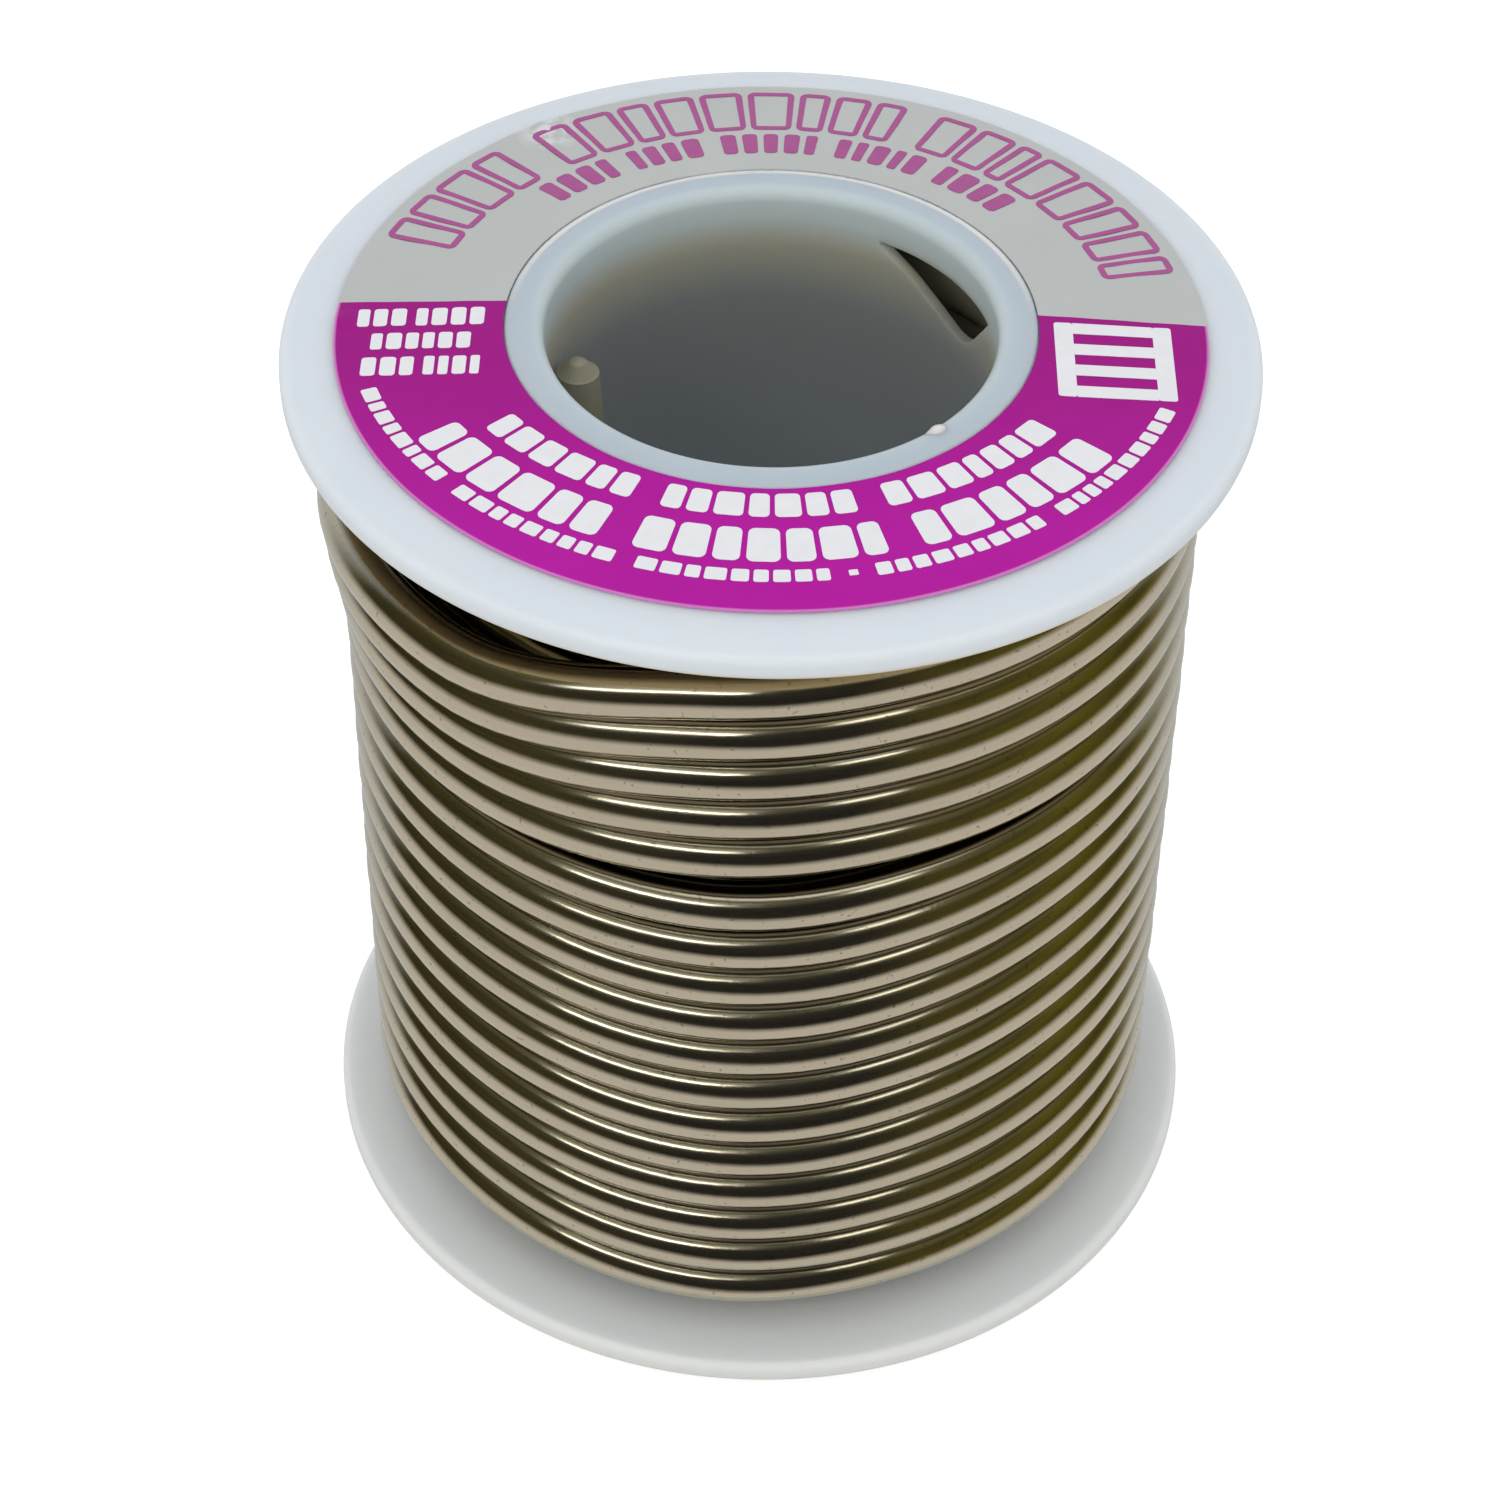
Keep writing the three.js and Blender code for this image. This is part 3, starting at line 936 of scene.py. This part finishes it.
def floor():
    """A wide pale floor. The camera sees it evenly lit, so that it blends into the background."""
    half = 3.0
    corners = [(-half, -half, 0), (half, -half, 0), (half, half, 0), (-half, half, 0)]
    mesh = bpy.data.meshes.new("floor")
    mesh.from_pydata(corners, [], [(0, 1, 2, 3)])
    piece = bpy.data.objects.new("floor", mesh)
    bpy.context.scene.collection.objects.link(piece)
    piece.location.z = -0.0001
    piece.visible_glossy = False
    made = bpy.data.materials.new("pale_floor")
    made.use_nodes = True
    nodes = Nodes(made.node_tree)
    path = nodes.add("ShaderNodeLightPath")
    matt = nodes.add("ShaderNodeBsdfDiffuse", Color=(0.62, 0.62, 0.60, 1))
    seen = nodes.add("ShaderNodeAddShader")
    glow = nodes.add("ShaderNodeEmission", Color=(1, 1, 1, 1), Strength=0.7)
    lit = nodes.add("ShaderNodeBsdfDiffuse", Color=(0.6, 0.6, 0.6, 1))
    nodes.set(seen, "0", glow.outputs[0])
    nodes.set(seen, "1", lit.outputs[0])
    either = nodes.add("ShaderNodeMixShader", Fac=path.outputs["Is Camera Ray"])
    nodes.set(either, "1", matt.outputs[0])
    nodes.set(either, "2", seen.outputs[0])
    output = nodes.add("ShaderNodeOutputMaterial")
    nodes.set(output, "Surface", either.outputs[0])
    mesh.materials.append(made)


def world():
    """Pale light. Shiny surfaces see a pale table, a dark warm room, and light behind and overhead."""
    made = bpy.data.worlds.new("studio")
    made.use_nodes = True
    nodes = Nodes(made.node_tree)
    path = nodes.add("ShaderNodeLightPath")
    place = nodes.add("ShaderNodeTexCoord")
    parts = nodes.add("ShaderNodeSeparateXYZ", Vector=place.outputs["Generated"])
    x, y, z = parts.outputs[0], parts.outputs[1], parts.outputs[2]
    warm = nodes.mix(nodes.span(x, 0.3, 0.85, 0.0, 1.0), (0.016, 0.014, 0.011, 1), (0.15, 0.125, 0.003, 1))
    warm = nodes.mix(nodes.span(x, -0.3, -0.8, 0.0, 1.0), warm, (0.062, 0.051, 0.006, 1))
    warm = nodes.mix(nodes.span(z, 0.58, 0.74, 0.0, 0.8), warm, (0.15, 0.14, 0.06, 1))
    blotches = nodes.noise(place.outputs["Generated"], 2.4, 2.0)
    warm = nodes.mix(nodes.span(blotches, 0.35, 0.65, 0.0, 0.65), warm, (0.012, 0.010, 0.008, 1))
    aside = nodes.math("MULTIPLY", nodes.math("ABSOLUTE", x), 0.3)
    table = nodes.span(nodes.math("SUBTRACT", z, aside), -0.24, -0.62, 0.0, 1.0)
    mirrored = nodes.mix(table, warm, (0.69, 0.645, 0.595, 1))
    mirrored = nodes.mix(nodes.span(y, 0.25, 0.6, 0.0, 1.0), mirrored, (0.60, 0.61, 0.62, 1))
    mirrored = nodes.mix(nodes.span(z, 0.87, 0.94, 0.0, 1.0), mirrored, (1.1, 1.07, 0.95, 1))
    ahead = nodes.mix(nodes.span(z, 0.15, 0.8, 0.0, 1.0), (1.25, 1.24, 1.20, 1), (0.80, 0.82, 0.85, 1))
    even = nodes.mix(nodes.span(y, 0.1, -0.5, 0.0, 1.0), (0.86, 0.88, 0.91, 1), ahead)
    seen = nodes.mix(path.outputs["Is Glossy Ray"], even, mirrored)
    seen = nodes.mix(path.outputs["Is Camera Ray"], seen, (1, 1, 1, 1))
    back = nodes.add("ShaderNodeBackground", Strength=1.0)
    nodes.set(back, "Color", seen)
    output = nodes.add("ShaderNodeOutputWorld")
    nodes.set(output, "Surface", back.outputs[0])
    bpy.context.scene.world = made


def lamp(name, azimuth, elevation, width, depth, radiance):
    """A flat light that faces the object. Azimuth is degrees to the right of the front."""
    data = bpy.data.lights.new(name, "AREA")
    data.shape = "RECTANGLE"
    data.size = width
    data.size_y = depth
    data.energy = radiance * math.pi * width * depth
    data.color = (1.0, 0.97, 0.86)
    light = bpy.data.objects.new(name, data)
    side, rise = math.radians(azimuth), math.radians(elevation)
    away = Vector((math.sin(side) * math.cos(rise), -math.cos(side) * math.cos(rise), math.sin(rise)))
    light.rotation_euler = away.to_track_quat("Z", "Y").to_euler()
    light.location = away * LAMP_DISTANCE + Vector((0, 0, TOTAL_HEIGHT / 2 * MM))
    bpy.context.scene.collection.objects.link(light)


def camera():
    """The view from the front, well above the object, with a long lens."""
    low, high = CAD_BOX
    centre = (Vector(low) + Vector(high)) / 2
    back = Vector((0, -math.cos(CAMERA_ELEVATION), math.sin(CAMERA_ELEVATION)))
    right = Vector((1, 0, 0))
    up = back.cross(right)
    axis = (back + CAMERA_PAN * right + CAMERA_TILT * up).normalized()
    right = (right - right.dot(axis) * axis).normalized()
    up = axis.cross(right)
    turned_right = math.cos(CAMERA_ROLL) * right + math.sin(CAMERA_ROLL) * up
    turned_up = math.cos(CAMERA_ROLL) * up - math.sin(CAMERA_ROLL) * right
    data = bpy.data.cameras.new("camera")
    data.lens = CAMERA_LENS
    data.sensor_width = 36
    data.clip_start = 0.01
    eye = bpy.data.objects.new("camera", data)
    pose = Matrix((turned_right, turned_up, axis)).transposed().to_4x4()
    pose.translation = centre + back * CAMERA_DISTANCE
    eye.matrix_world = pose
    bpy.context.scene.collection.objects.link(eye)
    bpy.context.scene.camera = eye


# ---- Putting it together ----

def dress(piece, finish):
    piece.data.materials.clear()
    piece.data.materials.append(finish)
    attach(piece, "root")


plastic = plastic_material("natural_polyethylene_painted_warm_shade", (0.66, 0.71, 0.77), (0.73, 0.77, 0.81), True)
# painted light: the bottom flange gets a lighter, more neutral copy of the same plastic
lightened_bottom_plastic = plastic_material("bottom_polyethylene_painted_light", (0.73, 0.75, 0.74), (0.78, 0.79, 0.78))
# painted highlight: the gate mark gets a lighter copy of the same plastic
highlit_gate_plastic = plastic_material("gate_polyethylene_painted_highlight", (0.80, 0.82, 0.84), (0.86, 0.87, 0.88))
dress(hub_tube(), hub_material())
dress(barrel(), plastic)
dress(flange("flange_disc_top", "flange_top", UPPER_FACE, 1), plastic)
dress(flange("flange_disc_bottom", "flange_bottom", LOWER_FACE, -1), lightened_bottom_plastic)
dress(gate_mark(), highlit_gate_plastic)
dress(label(), foil_material())
magenta_print, white_print = label_print()
magenta_ink = ink_material("magenta_ink", (0.42, 0.08, 0.29, 1), (0.38, 0.06, 0.25, 1), 0.4)
dress(magenta_print, magenta_ink)
white_ink = ink_material("white_ink", (0.86, 0.86, 0.88, 1), (0.78, 0.77, 0.80, 1), 0.45)
dress(white_print, white_ink)
dress(solder(), solder_material())

floor()
world()
lamp("lamp_left", -31, 40, 0.40, 0.08, 4.5)
lamp("lamp_left_glow", -33, 47, 0.46, 0.22, 0.3)
lamp("lamp_right", 24, 54, 0.20, 0.10, 2.2)
camera()
bpy.context.scene.view_settings.view_transform = "Standard"
